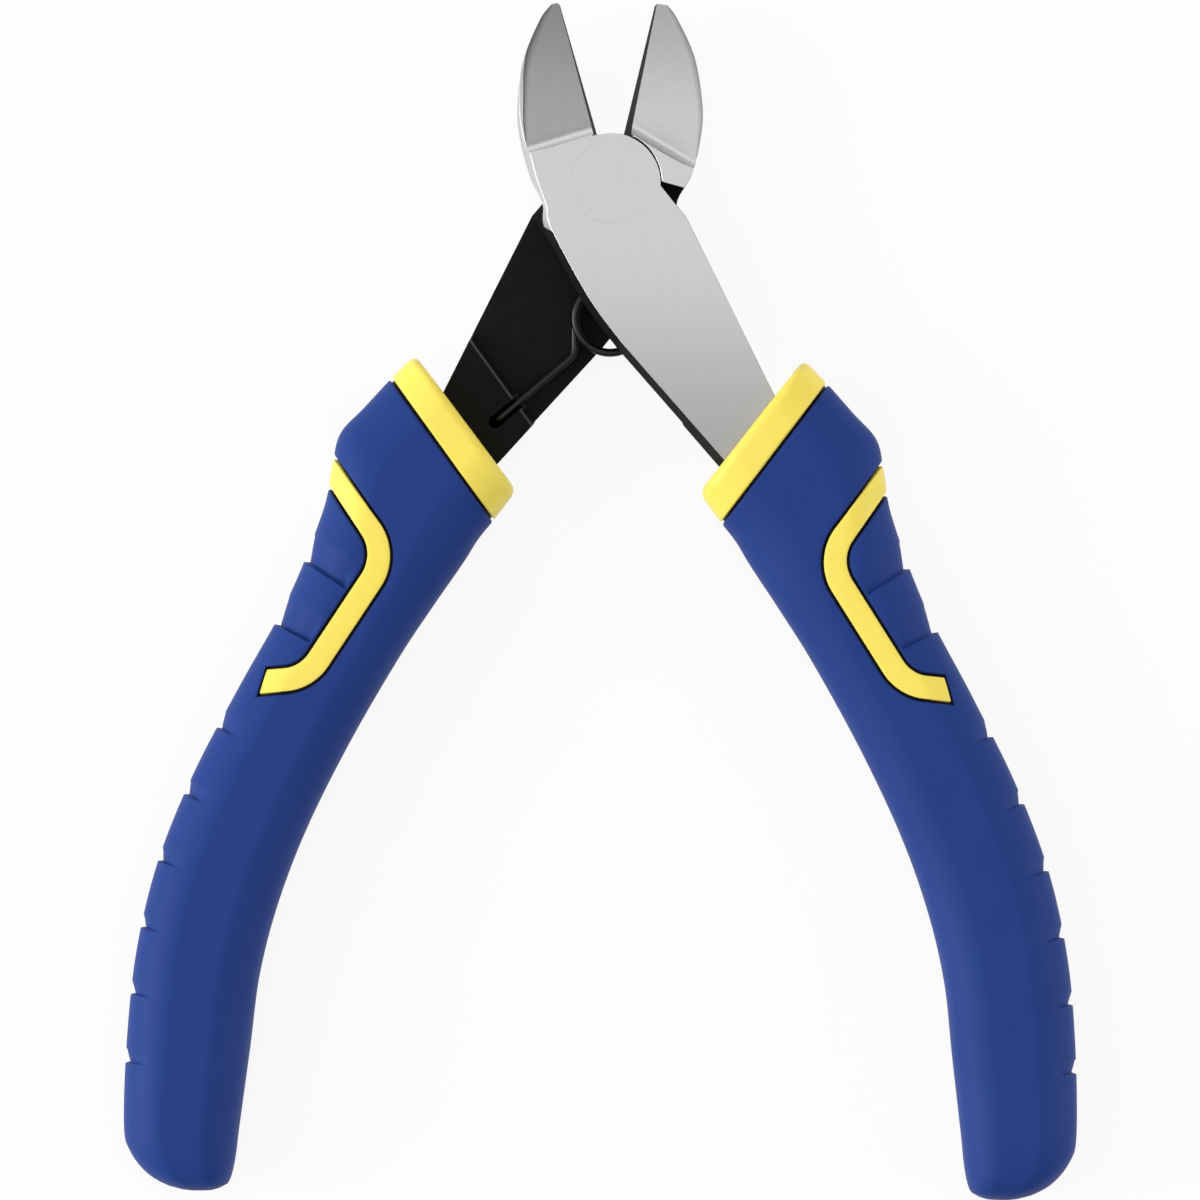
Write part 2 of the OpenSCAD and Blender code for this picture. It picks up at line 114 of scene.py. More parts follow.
def ground_steel():
    """Tool steel off a grinding belt: fine straight lines, a soft grey shine, and a dull black oxide with a
    little mottle where the belt didn't reach, as marks on the faces say. The same black is painted along the
    jaws' rims as shade, and a little less of it on the eased step in the tang, as a painted highlight.
    Towards the tips and along the tangs the steel is painted a darker grey, as shade for the dimmer
    reflection there."""
    material, tree, shader, place = blank_material("ground_tool_steel")
    # Share of black: the oxide, and a little less of it on the eased step as a painted highlight
    oxide_and_step_highlight = add(tree, "Attribute", attribute_name="blackened").outputs["Fac"]
    # The rim attribute is painted shade: the oxide's black is mixed in along the jaws' rims
    rim_painted_shade = add(tree, "Attribute", attribute_name="rim").outputs["Fac"]
    black = add(tree, "Math", {0: oxide_and_step_highlight, 1: rim_painted_shade}, operation="MAXIMUM").outputs[0]
    # A belt's lines are a few hundredths of a millimetre wide, and are drawn wider so that they show
    line_wide, line_long, mottle = 0.14 * mm, 5 * mm, 1.6 * mm
    stretch = (1 / line_wide, 1 / line_long, 1 / line_wide)
    lines = add(tree, "Mapping", {"Vector": place, "Scale": stretch})
    grind = add(tree, "TexNoise", {"Vector": lines.outputs[0], "Scale": 1.0, "Detail": 3.0, "Roughness": 0.6})
    cloud = add(tree, "TexNoise", {"Vector": place, "Scale": 1 / mottle, "Detail": 4.0, "Roughness": 0.55})
    greys = {0: grind.outputs[0], 6: linear("#C6C6C5"), 7: linear("#D6D6D5")}
    steel = add(tree, "Mix", greys, data_type="RGBA")
    blacks = {0: cloud.outputs[0], 6: linear("#141313"), 7: linear("#1E1C1C")}
    oxide = add(tree, "Mix", blacks, data_type="RGBA")
    # Painted shade: the steel is drawn a darker grey towards the tips and along the tangs, standing in for
    # the dimmer reflection there
    length = add(tree, "SeparateXYZ", {0: place}).outputs[1]
    near_tips = {0: length, 1: tips_from * mm, 2: tips_to * mm, 4: tip_shade}
    tip = add(tree, "MapRange", near_tips, interpolation_type="SMOOTHSTEP")
    on_tangs = {0: length, 1: tangs_from * mm, 2: tangs_to * mm, 4: tang_shade}
    tang = add(tree, "MapRange", on_tangs, interpolation_type="SMOOTHSTEP")
    painted_shade = add(tree, "Math", {0: tip.outputs[0], 1: tang.outputs[0]}, operation="ADD")
    shaded_tones = {0: painted_shade.outputs[0], 6: steel.outputs[2], 7: linear("#2A2929")}
    shaded_steel = add(tree, "Mix", shaded_tones, data_type="RGBA")
    colour = add(tree, "Mix", {0: black, 6: shaded_steel.outputs[2], 7: oxide.outputs[2]}, data_type="RGBA")
    tree.links.new(colour.outputs[2], shader.inputs["Base Color"])
    shine = add(tree, "MapRange", {0: grind.outputs[0], 3: 0.36, 4: 0.50})
    dull = add(tree, "MapRange", {0: cloud.outputs[0], 3: 0.55, 4: 0.72})
    bare = add(tree, "Math", {0: 1.0, 1: black}, operation="SUBTRACT")
    tree.links.new(bare.outputs[0], shader.inputs["Metallic"])
    rough = add(tree, "Mix", {0: black, 2: shine.outputs[0], 3: dull.outputs[0]})
    tree.links.new(rough.outputs[0], shader.inputs["Roughness"])
    relief = add(tree, "Bump", {"Height": grind.outputs[0], "Strength": 0.12, "Distance": 0.01 * mm})
    tree.links.new(relief.outputs[0], shader.inputs["Normal"])
    shader.inputs["Specular IOR Level"].default_value = 0.04
    return material


steel_finish = ground_steel()


def even(points, n):
    """The same line with n points evenly spaced along it."""
    s = np.append(0, np.cumsum(np.linalg.norm(np.diff(points, axis=0), axis=1)))
    at = np.linspace(0, s[-1], n)
    return np.stack([np.interp(at, s, points[:, k]) for k in range(points.shape[1])], -1)


def beside(chain, normal, wide, fullness):
    """A line beside a chain of corners in a face, at a distance that swells from nothing at both ends as a
    power of half a sine wave."""
    line = even(np.array([v.co for v in chain]), rim_points)
    inward = np.cross(normal, np.gradient(line, axis=0))
    inward /= np.linalg.norm(inward, axis=1, keepdims=True)
    swell = np.sin(np.pi * np.linspace(0, 1, rim_points)) ** fullness
    return (line + wide * mm * inward * swell[:, None])[1:-1].tolist()


def paint_rim_shade(solid, hollow, flank_edges, rim, dark, margin):
    """The jaw's hollow gets a painted shade that darkens softly towards its outer rim: a strip along the rim
    is split off, and its corners on the rim are painted dark. With a margin, the flank's rounding comes over
    the rim as a bright strip beside it, from a third of the way down the jaw, and the painted shade lies
    inside it."""
    corners = list(hollow.loops)
    first = max(range(len(corners)), key=lambda i: corners[i].edge.calc_length())
    corners = corners[first:] + corners[:first]
    on_rim = [i for i, c in enumerate(corners) if c.edge in flank_edges]
    chain = [c.vert for c in corners[on_rim[0]:on_rim[-1] + 2]]
    if chain[0].co.y < chain[-1].co.y:
        chain = chain[::-1]
    hollow_way = hollow.normal.copy()
    way = hollow_way if corners[on_rim[0]].vert is chain[0] else -hollow_way
    inner = beside(chain, way, rim_wide + margin, rim_fullness)
    parts = hollow, bmesh.utils.face_split(hollow, chain[0], chain[-1], coords=inner)[0]
    strip = next(f for f in parts if chain[1] in f.verts)
    dark_at = set(chain)
    if margin:
        start = next(i for i, v in enumerate(chain) if v.co.y < (2 * chain[0].co.y + chain[-1].co.y) / 3)
        inner = beside(chain[start:], way, margin, margin_fullness)
        parts = strip, bmesh.utils.face_split(strip, chain[start], chain[-1], coords=inner)[0]
        bright = next(f for f in parts if chain[start + 1] in f.verts)
        strip = next(f for f in parts if f is not bright)
        dark_at = set(bright.verts) | set(chain[:start + 1])
        swell = np.sin(np.linspace(0, np.pi, len(chain) - start)) ** margin_fullness
        for vert, share in zip(chain[start:], swell):
            vert.co -= float(margin_drop * mm * share) * hollow_way
    for face in bmesh.ops.triangulate(solid, faces=[strip], ngon_method="BEAUTY")["faces"]:
        for corner in face.loops:
            corner[rim] = dark * (corner.vert in dark_at)


def forged(node, body, turn, rim_shade, margin):
    """The half's solid with its triangles merged into whole faces and its slivers dissolved. A face is bright
    if it lies in an outer face of the joint, on a jaw or on the head's flank, and else black. The jaws get
    painted shade along their rims, the step in the tang is eased and painted a little lighter as a highlight,
    and every sharp edge is eased."""
    mesh = frame["nodes"][node].data.copy()
    flip = np.array([turn, 1, turn])
    solid = bmesh.new()
    solid.from_mesh(mesh)
    bmesh.ops.remove_doubles(solid, verts=solid.verts, dist=same_point * mm)
    bmesh.ops.dissolve_degenerate(solid, edges=solid.edges, dist=same_point * mm)
    bmesh.ops.dissolve_limit(solid, angle_limit=radians(flat_angle), verts=solid.verts, edges=solid.edges)
    sides = [f for f in solid.faces if f.normal.x * turn < -0.2 and abs(f.normal.z) < 0.6]
    cut = [*sides, *{e for f in sides for e in f.edges}, *{v for f in sides for v in f.verts}]
    bmesh.ops.bisect_plane(solid, geom=cut, plane_co=in_frame(neck_cut * flip), plane_no=neck_way * flip)
    # Kinds of face, told apart by where their middles are and by how far they look along each axis
    on_outer, on_flank, on_jaw, on_step, elsewhere = 1, 2, 3, 4, 5
    x, y, z = ((np.array([f.calc_center_median() for f in solid.faces]) - rivet_at) / mm * flip).T
    nx, ny, nz = (np.array([f.normal for f in solid.faces]) * flip).T
    level, close = 0.95, 0.1
    outer = ((nz > level) & (z > half_thick - close)) | ((nz < -level) & (z < close - half_thick))
    above_neck = (np.stack([x, y], -1) - neck_cut[:2]) @ neck_way[:2] > 0
    # The flank looks outwards and stands nearly upright
    flank = (nx < -0.2) & (ny < 0.8) & (abs(nz) < 0.45) & above_neck & (x < flank_x)
    # The jaw's ground faces look to the front, to the back or towards the tips, but not inwards
    belted = (nx < 0.6) & ((abs(nz) > 0.3) | (ny > 0.25))
    jaw = ~outer & ~flank & belted & (y > jaw_start) & (y < tip_start)
    # The step in the tang is a steep slope that looks towards the tips
    step = (ny > 0.1) & (y < step_y) & (abs(nz) > 0.2) & (abs(nz) < 0.6)
    kinds = np.select([outer, flank, jaw, step], [on_outer, on_flank, on_jaw, on_step], elsewhere)
    black = solid.faces.layers.float.new("blackened")
    kind = solid.faces.layers.int.new("kind")
    for face, number in zip(solid.faces, kinds.tolist()):
        face[kind] = number
        face[black] = float(number in (on_step, elsewhere))
    # Painted shade along each jaw's rim, carried by the rim attribute
    rim = solid.loops.layers.float.new("rim")
    flank_edges = {e for f in solid.faces if f[kind] == on_flank for e in f.edges}
    for hollow in [f for f in solid.faces if f[kind] == on_jaw and f.calc_area() > least_hollow * mm ** 2]:
        paint_rim_shade(solid, hollow, flank_edges, rim, rim_shade, margin)
    step_edges = [e for e in solid.edges if {f[kind] for f in e.link_faces} == {on_step, elsewhere}
                  and e.is_convex and min(f.calc_area() for f in e.link_faces) > least_step * mm ** 2]
    step_highlight_faces = bmesh.ops.bevel(solid, geom=step_edges, offset=step_round * mm, offset_type="OFFSET", segments=2,
                             profile=0.5, affect="EDGES", clamp_overlap=False)
    # The eased step is painted a little lighter than the oxide, as a highlight
    for face in step_highlight_faces["faces"]:
        face[black] = step_highlight_black
    solid.faces.layers.int.remove(kind)
    bmesh.ops.dissolve_degenerate(solid, edges=solid.edges, dist=least_edge * mm)
    solid.to_mesh(mesh)
    solid.free()
    if "custom_normal" in mesh.attributes:
        mesh.attributes.remove(mesh.attributes["custom_normal"])
    mesh.shade_smooth()
    mesh.set_sharp_from_angle(angle=radians(smooth_angle))
    mesh.materials.clear()
    mesh.materials.append(steel_finish)
    piece = bpy.data.objects.new(node + "_steel", mesh)
    bpy.context.scene.collection.objects.link(piece)
    ease = piece.modifiers.new("eased_edges", "BEVEL")
    ease.width = edge_round * mm
    ease.segments = 2
    ease.use_clamp_overlap = False
    ease.limit_method = "ANGLE"
    ease.angle_limit = radians(eased_angle)
    flat = piece.modifiers.new("flat_faces", "WEIGHTED_NORMAL")
    flat.keep_sharp = True
    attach(piece, body)
    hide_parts(node)


# Share of painted shade at each jaw's rim
forged("front_half", "front_lever", turn=1, rim_shade=0.85, margin=0.33)
forged("rear_half", "rear_lever", turn=-1, rim_shade=0.55, margin=0)

# The rivet is a steel pin, headed into both countersinks and ground flush with the
# joint's faces, so that only a fine ring shows.
head_r, head_deep, shank_r = 3.785, 1.4, 2.4
# Easing of the head's edge, and how far inside it a ring of points lies in the flat face
head_ease, head_ring = 0.015, 0.4
rivet_sides = 128


def shape(name, points, faces, material, sharp=35, **marks):
    """A mesh object from points in millimetres, with any marks on its points. Points that meet are merged,
    faces look outwards, and edges sharper than the given angle stay sharp."""
    meeting, sliver = 0.001, 0.0005
    mesh = bpy.data.meshes.new(name)
    mesh.from_pydata(in_frame(points).tolist(), [], [list(map(int, f)) for f in faces])
    for mark, values in marks.items():
        mesh.attributes.new(mark, "FLOAT", "POINT").data.foreach_set("value", np.asarray(values, np.float32))
    solid = bmesh.new()
    solid.from_mesh(mesh)
    bmesh.ops.remove_doubles(solid, verts=solid.verts, dist=meeting * mm)
    bmesh.ops.dissolve_degenerate(solid, edges=solid.edges, dist=sliver * mm)
    bmesh.ops.recalc_face_normals(solid, faces=solid.faces)
    solid.to_mesh(mesh)
    solid.free()
    mesh.shade_smooth()
    mesh.set_sharp_from_angle(angle=radians(sharp))
    mesh.materials.append(material)
    piece = bpy.data.objects.new(name, mesh)
    bpy.context.scene.collection.objects.link(piece)
    return piece


def tube_faces(rings, round_count, first=0):
    """Four-sided faces between neighbouring rings of points, closed round each ring."""
    i, k = np.meshgrid(np.arange(rings - 1), np.arange(round_count), indexing="ij")
    a = first + i * round_count + k
    b = first + i * round_count + (k + 1) % round_count
    return np.stack([a, b, b + round_count, a + round_count], -1).reshape(-1, 4)


def headed_pin():
    """The pin's profile, from the middle of one face over the head, the cone and the shank to the other face,
    carried round the pin's axis."""
    half = [(0, half_thick), (head_r - head_ring, half_thick), (head_r - head_ease, half_thick),
            (head_r, half_thick - head_ease), (shank_r, half_thick - head_deep)]
    r, z = np.array(half + [(a, -b) for a, b in half[::-1]]).T[..., None]
    angle = np.linspace(0, 2 * np.pi, rivet_sides, endpoint=False)
    return np.stack(np.broadcast_arrays(r * np.cos(angle), r * np.sin(angle), z), -1)


pin = headed_pin()
rivet = shape("rivet", pin.reshape(-1, 3), tube_faces(len(pin), rivet_sides), steel_finish, sharp=30)
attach(rivet, "pivot")
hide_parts("pivot_rivet")

# The spring is one piece of hard-drawn wire, blackened, with a curl and a half
# between the tangs and a leg hooked into a hole in each tang.
wire_r, wire_sides = 0.375, 20
# Curls: radius, distance below the rivet, climb in a turn, and degrees in each half of the wire
coil_r, coil_drop, coil_pitch, half_curl = 3.15, 12.28, 1.2, 270
# Hooks: place, depth of the end, and radius of the bend
hook_at, hook_end, hook_bend = (10.33, -21.85), 2.6, 0.9
# Legs: heading in degrees, radius of the bend, depth, and where along the tool they start to give
leg_turn, leg_bend, leg_z, leg_gives = 40.9, 1.5, 0.9, -13.0


def spring_half():
    """Half of the wire, from the left hook to the bottom of the curls. The middle line runs up out of the
    hole, bends into the straight leg, bends into the curls and climbs along a helix. A circle of the wire's
    radius is carried along it, square to the heading and the pitch at each place."""
    across, up = np.cos(np.radians(leg_turn)), np.sin(np.radians(leg_turn))
    rise = np.linspace(0, 1, 9)
    straight = [-hook_at[0] + 0 * rise, hook_at[1] + 0 * rise,
                -hook_end + (hook_end - leg_z - hook_bend) * rise, leg_turn + 0 * rise, 90 + 0 * rise]
    a = np.linspace(0, 90, 17)[1:]
    out = hook_bend * (1 - np.cos(np.radians(a)))
    hook = [-hook_at[0] + out * across, hook_at[1] + out * up,
            -leg_z - hook_bend * (1 - np.sin(np.radians(a))), leg_turn + 0 * a, 90 - a]
    corner_y = hook_at[1] + (hook_at[0] - coil_r) * up / across
    reach = leg_bend * np.tan(np.radians((90 - leg_turn) / 2))
    turn = leg_turn + np.linspace(0, 90 - leg_turn, 17)
    bend = [-coil_r - leg_bend * (1 - np.sin(np.radians(turn))),
            corner_y + reach - leg_bend * np.cos(np.radians(turn)), -leg_z + 0 * turn, turn, 0 * turn]
    round_by = np.linspace(0, half_curl, 136)
    angle = np.radians(180 - round_by)
    curl = [coil_r * np.cos(angle), -coil_drop + coil_r * np.sin(angle),
            -leg_z + coil_pitch * round_by / 360, 90 - round_by, 0 * round_by]
    x, y, z, heading, pitch = np.concatenate([straight, hook, bend, curl], axis=1)
    heading, pitch = np.radians(heading), np.radians(pitch)
    side = np.stack([-np.sin(heading), np.cos(heading), 0 * heading], -1)[:, None]
    lean = -np.sin(pitch)
    over = np.stack([lean * np.cos(heading), lean * np.sin(heading), np.cos(pitch)], -1)[:, None]
    ring = np.linspace(0, 2 * np.pi, wire_sides, endpoint=False)[None, :, None]
    line = np.stack([x, y, z], -1)[:, None]
    rings = line + wire_r * (np.cos(ring) * side + np.sin(ring) * over)
    ends = np.broadcast_to(line[[0, -1]], (2, wire_sides, 3))
    return np.concatenate([ends[:1], rings, ends[1:]])


def black_wire():
    """Oil-blackened spring wire: a dark, half-dull metal, a little patchy where the oil took unevenly."""
    material, tree, shader, place = blank_material("black_spring_wire")
    patch = 0.9 * mm
    cloud = add(tree, "TexNoise", {"Vector": place, "Scale": 1 / patch, "Detail": 3.0})
    darks = {0: cloud.outputs[0], 6: linear("#2B2929"), 7: linear("#3C3A3A")}
    colour = add(tree, "Mix", darks, data_type="RGBA")
    tree.links.new(colour.outputs[2], shader.inputs["Base Color"])
    dull = add(tree, "MapRange", {0: cloud.outputs[0], 3: 0.28, 4: 0.42})
    tree.links.new(dull.outputs[0], shader.inputs["Roughness"])
    shader.inputs["Metallic"].default_value = 1.0
    return material


wire_finish = black_wire()
wire = spring_half()
for side, turn, lever in (("left", 1, "rear_lever"), ("right", -1, "front_lever")):
    flip = np.array([turn, 1, turn])
    rings = wire.reshape(-1, 3) * flip
    leg = shape(f"spring_{side}_half", rings, tube_faces(len(wire), wire_sides), wire_finish, sharp=60)
    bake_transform(leg)
    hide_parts("return_spring")

# Each grip has a hard yellow core, moulded round the shank first. It shows as the
# collar at the top and as the raised stripe, which is flush with the soft cover.

# Half the height, the section's power, and how far its faces are filled before they are cut off flat
grip_half, section_power, face_fullness = 5.2, 2.6, 1.03
# Points of the right grip's outer and inner sides, from the collar to the butt
rail_out = [(17.65, -15.85), (19.85, -18.05), (22.2, -20.65), (24.4, -23.1), (25.1, -26.2), (25.9, -30.2),
            (28.9, -38.0), (33.2, -46.0), (37.3, -54.0), (40.45, -62.0), (42.3, -70.0), (43.1, -78.0),
            (43.3, -86.0), (42.7, -88.5), (41.1, -90.5), (39.0, -91.65), (37.2, -92.0)]
rail_in = [(8.3, -28.05), (10.4, -30.85), (11.7, -32.5), (12.8, -34.3), (14.0, -36.1), (15.7, -38.6),
           (18.8, -43.4), (23.1, -51.0), (26.9, -58.8), (29.5, -65.8), (31.1, -72.3), (31.9, -79.0),
           (32.8, -86.2), (33.05, -88.5), (33.4, -90.4), (33.9, -91.45), (35.2, -91.95)]
# Places along these points where the butt's height starts to fall and ends, and the share left there
butt_start, butt_end, butt_thin = 12, 16, 0.3
# How far the core lies inside the cover, and the place along where it ends
core_inset, core_end = 1.5, 11.8


def along(rail, t):
    """Points at places t on the smooth curve through a rail's points: a cubic between each two of them, whose
    slope at a point is half the way from the point before it to the one after."""
    p = np.asarray(rail, float)
    i = np.clip(np.floor(t).astype(int), 0, len(p) - 2)
    f = np.asarray(t - i)[..., None]
    a, b, c, d = p[np.maximum(i - 1, 0)], p[i], p[i + 1], p[np.minimum(i + 2, len(p) - 1)]
    slope, bow, twist = c - a, 2 * a - 5 * b + 4 * c - d, 3 * b - a - 3 * c + d
    return 0.5 * (2 * b + slope * f + bow * f ** 2 + twist * f ** 3)


def across_grip(t):
    """Middle, direction and half width of the grip's section from the inner to the outer rail at places t."""
    outer, inner = along(rail_out, t), along(rail_in, t)
    half = np.linalg.norm(outer - inner, axis=-1) / 2
    return (outer + inner) / 2, (outer - inner) / (2 * half)[..., None], half


def power(v, exponent):
    """A power of the size of v, with the sign of v."""
    return np.sign(v) * np.abs(v) ** exponent


def grip_skin(t, angle, inset=0.0, shrink=1.0):
    """Point of the grip's surface: a superellipse between the two rails, carried along them, from powers of
    the angle's cosine and sine. Its height falls on a quarter of an ellipse at the butt. Inset draws it in
    evenly, and shrink towards its middle."""
    middle, across, half = across_grip(t)
    past = np.clip((t - butt_start) / (butt_end - butt_start), 0, 1)
    high = grip_half * np.sqrt(1 - past ** 2 * (1 - butt_thin ** 2))
    x = (half - inset) * power(np.cos(angle), 2 / section_power) * shrink
    lift = np.clip(face_fullness * power(np.sin(angle), 2 / section_power), -1, 1)
    z = (high - inset) * lift * shrink
    return np.concatenate([middle + across * x[..., None], z[..., None]], -1)


def grip_normal(t, angle):
    """Outward direction of the grip's surface, from its slopes along and round the grip."""
    small = 0.002
    run = grip_skin(t + small, angle) - grip_skin(t - small, angle)
    turn = grip_skin(t, angle + small) - grip_skin(t, angle - small)
    n = np.cross(turn, run)
    return n / np.linalg.norm(n, axis=-1, keepdims=True)


# Lengths along the grip and round its section, for even spacing
fine_t = np.linspace(0, butt_end, 3201)
run_at = np.append(0, np.cumsum(np.linalg.norm(np.diff(across_grip(fine_t)[0], axis=0), axis=1)))
fine_angle = np.linspace(-np.pi, np.pi, 4001)
halfway = grip_skin(np.full(len(fine_angle), butt_end / 2), fine_angle)
round_at = np.append(0, np.cumsum(np.linalg.norm(np.diff(halfway, axis=0), axis=1)))
round_at -= round_at[-1] / 2

# Stripe: width, gap to the cover, share of the width at the outer side, and where along it is full
stripe_wide, stripe_gap = 2.12, 0.26
stripe_narrow, narrow_until = 0.74, 0.42
# Its middle line seen from the front, the radii of its two bends, and the slant of its lower end
stripe_corners = np.array([(26.8, -24.3), (19.8, -34.0), (27.1, -45.3), (31.0, -45.65)])
stripe_round = (4.2, 4.0)
stripe_end_slant = 0.4
edge_points = 150


def rounded_corner(a, b, c, radius, n=24):
    """Points of the arc that rounds the corner at b. Its middle is on the line that halves the corner, at the
    radius over the sine of half the angle."""
    u, v = (a - b) / np.linalg.norm(a - b), (c - b) / np.linalg.norm(c - b)
    half = np.arccos(u @ v) / 2
    m = b + (u + v) / np.linalg.norm(u + v) * radius / np.sin(half)
    p, q = b + u * radius / np.tan(half), b + v * radius / np.tan(half)
    start = np.arctan2(*(p - m)[::-1])
    sweep = (np.arctan2(*(q - m)[::-1]) - start + np.pi) % (2 * np.pi) - np.pi
    at = start + sweep * np.linspace(0, 1, n)
    return m + radius * np.stack([np.cos(at), np.sin(at)], -1)


def stripe_edge(side, beyond=0.0):
    """The stripe's edge on one side, or a line beyond it, as lengths along and round the grip. Seen from the
    front it runs beside the middle line, from the stripe's lower end to the grip's outer side, where the
    stripe is narrower and crosses to the back."""
    # The line is drawn past the lower end by this length, and cut off there at the slant
    spare = 3
    p = stripe_corners
    tail = (p[3] - p[2]) / np.linalg.norm(p[3] - p[2])
    line = np.concatenate([p[:1], rounded_corner(p[0], p[1], p[2], stripe_round[0]),
                           rounded_corner(p[1], p[2], p[3], stripe_round[1]), [p[3] + spare * tail]])
    line = even(line, 8 * edge_points)
    along_it = np.gradient(line, axis=0)
    along_it /= np.linalg.norm(along_it, axis=1, keepdims=True)
    share = np.interp(np.linspace(0, 1, len(line)), [0, narrow_until], [stripe_narrow, 1])
    offset = side * (stripe_wide / 2 * share + beyond)
    line = line + offset[:, None] * np.stack([-along_it[:, 1], along_it[:, 0]], -1)
    line = line[(line - p[3]) @ tail < beyond - stripe_end_slant * offset][::-1]
    # Each point's place along the grip is where the section passes over it
    places = np.linspace(1.5, 9, 1501)
    middle, across, _ = across_grip(places)
    off = line[:, None] - middle
    past = off[..., 0] * across[:, 1] - off[..., 1] * across[:, 0]
    k = np.argmax(past[:, :-1] * past[:, 1:] <= 0, axis=1)
    row = np.arange(len(line))
    t = places[k] + (places[1] - places[0]) * past[row, k] / (past[row, k] - past[row, k + 1])
    middle, across, half = across_grip(t)
    share = np.sum((line - middle) * across, axis=1) / half
    # It ends at the outer side, between the last point inside the outline and the first one outside
    last = np.argmax(share >= 1)
    cross = (1 - share[last - 1]) / (share[last] - share[last - 1])
    t = np.append(t[:last], t[last - 1] + cross * (t[last] - t[last - 1]))
    share = np.append(share[:last], 1)
    angle = np.arccos(power(share, section_power / 2))
    lengths = np.stack([np.interp(t, fine_t, run_at), np.interp(angle, fine_angle, round_at)], -1)
    return even(lengths, edge_points)


def to_the_back(edge):
    """An edge of the stripe carried on over the outer side and down the back."""
    return np.concatenate([edge, edge[-2::-1] * (1, -1)])


def stripe_band():
    """The stripe as a band with eased edges: its cross section runs from edge to edge at a height over the
    grip's surface, and is carried from the lower end on the front, over the side, to the one on the back."""
    top, low = to_the_back(stripe_edge(1)), to_the_back(stripe_edge(-1))
    # Share of the way across, and height over the surface, of each point of the cross section
    v = np.array([0, 0, 0.012, 0.045, 0.12, 0.3, 0.5, 0.7, 0.88, 0.955, 0.988, 1, 1])
    lift = np.array([-1.6, -0.12, -0.035, 0, 0.02, 0.03, 0.03, 0.03, 0.02, 0, -0.035, -0.12, -1.6])
    lengths = low[:, None] + (top - low)[:, None] * v[None, :, None]
    t = np.interp(lengths[..., 0], run_at, fine_t)
    angle = np.interp(lengths[..., 1], round_at, fine_angle)
    points = grip_skin(t, angle) + grip_normal(t, angle) * lift[None, :, None]
    n = len(v)
    caps = [list(range(n)), list(range((len(top) - 1) * n, len(top) * n))]
    return points.reshape(-1, 3), [*tube_faces(len(top), n), *caps]


def collar_and_sleeve():
    """The core's outside: the flat end round the tang, a rounded rim, the collar, the step down beside the
    cover, and the plain sleeve inside the cover. Each row gives the place along, the inset and the shrink."""
    rim, rim_run, foot, foot_run = 0.95, 0.33, 0.22, 0.07
    collar_from, collar_to, sleeve_from, sleeve_sides = 0.4, 0.88, 0.97, 120
    ease = np.linspace(0, np.pi / 2, 9)
    rows = [(0, rim, s) for s in (0, 0.5, 0.9)]
    rows += [(rim_run * (1 - np.cos(e)), rim * (1 - np.sin(e)), 1) for e in ease]
    rows += [(t, 0, 1) for t in np.linspace(collar_from, collar_to, 5)]
    rows += [(collar_to + foot_run * np.sin(e), foot * (1 - np.cos(e)), 1) for e in ease[1:]]
    rows += [(t, core_inset, 1) for t in np.linspace(sleeve_from, core_end, 60)]
    rows += [(core_end, core_inset, s) for s in (0.6, 0)]
    t, inset, shrink = np.array(rows, float).T[..., None]
    round_it = np.linspace(round_at[0], round_at[-1], sleeve_sides + 1)[:-1]
    angle = np.interp(round_it, round_at, fine_angle)[None]
    t, angle = np.broadcast_arrays(t, angle)
    points = grip_skin(t, angle, inset, shrink)
    return points.reshape(-1, 3), tube_faces(len(rows), points.shape[1])


def hard_yellow():
    """Moulded hard plastic, polypropylene: a warm yellow with a satin skin, and faint flow marks."""
    material, tree, shader, place = blank_material("hard_yellow_plastic")
    # The satin's grain is a few hundredths of a millimetre across, and is drawn coarser so that it shows
    flow, grain = 6 * mm, 0.18 * mm
    cloud = add(tree, "TexNoise", {"Vector": place, "Scale": 1 / flow, "Detail": 2.0})
    speck = add(tree, "TexNoise", {"Vector": place, "Scale": 1 / grain, "Detail": 2.0})
    yellows = {0: cloud.outputs[0], 6: linear("#F8DF54"), 7: linear("#FCE86A")}
    colour = add(tree, "Mix", yellows, data_type="RGBA")
    tree.links.new(colour.outputs[2], shader.inputs["Base Color"])
    satin = add(tree, "MapRange", {0: speck.outputs[0], 3: 0.36, 4: 0.50})
    tree.links.new(satin.outputs[0], shader.inputs["Roughness"])
    relief = add(tree, "Bump", {"Height": speck.outputs[0], "Strength": 0.10, "Distance": 0.02 * mm})
    tree.links.new(relief.outputs[0], shader.inputs["Normal"])
    shader.inputs["IOR"].default_value = 1.49
    shader.inputs["Specular IOR Level"].default_value = 0.35
    return material


yellow_finish = hard_yellow()
collar_points, collar_faces = collar_and_sleeve()
band_points, band_faces = stripe_band()
core_points = np.concatenate([collar_points, band_points])
core_faces = [*collar_faces, *([i + len(collar_points) for i in f] for f in band_faces)]
for side, turn, lever in (("right", 1, "front_lever"), ("left", -1, "rear_lever")):
    core = shape(f"{side}_core", core_points * (turn, 1, turn), core_faces, yellow_finish, sharp=40)
    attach(core, lever)
    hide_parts(f"{side}_grip_core")

# The cover is the second shot, a soft blue rubber moulded over the core. It leaves the
# stripe bare in a narrow channel, and has two thumb grooves and a row of small notches.

# Places of the steps along the grip, the run down to each and its depth, and the run of the step itself
groove_at, groove_run, groove_deep = (5.59, 6.29), 0.26, 0.55
notch_at, notch_run, notch_deep = 7.47 + 0.76 * np.arange(6), 0.14, 0.45
step_run = 0.022
# Shares of the half width over which a groove fades in beside the stripe, and a notch at the outer side
groove_fade, notch_fade = (0.01, 0.09), (0.60, 0.93)
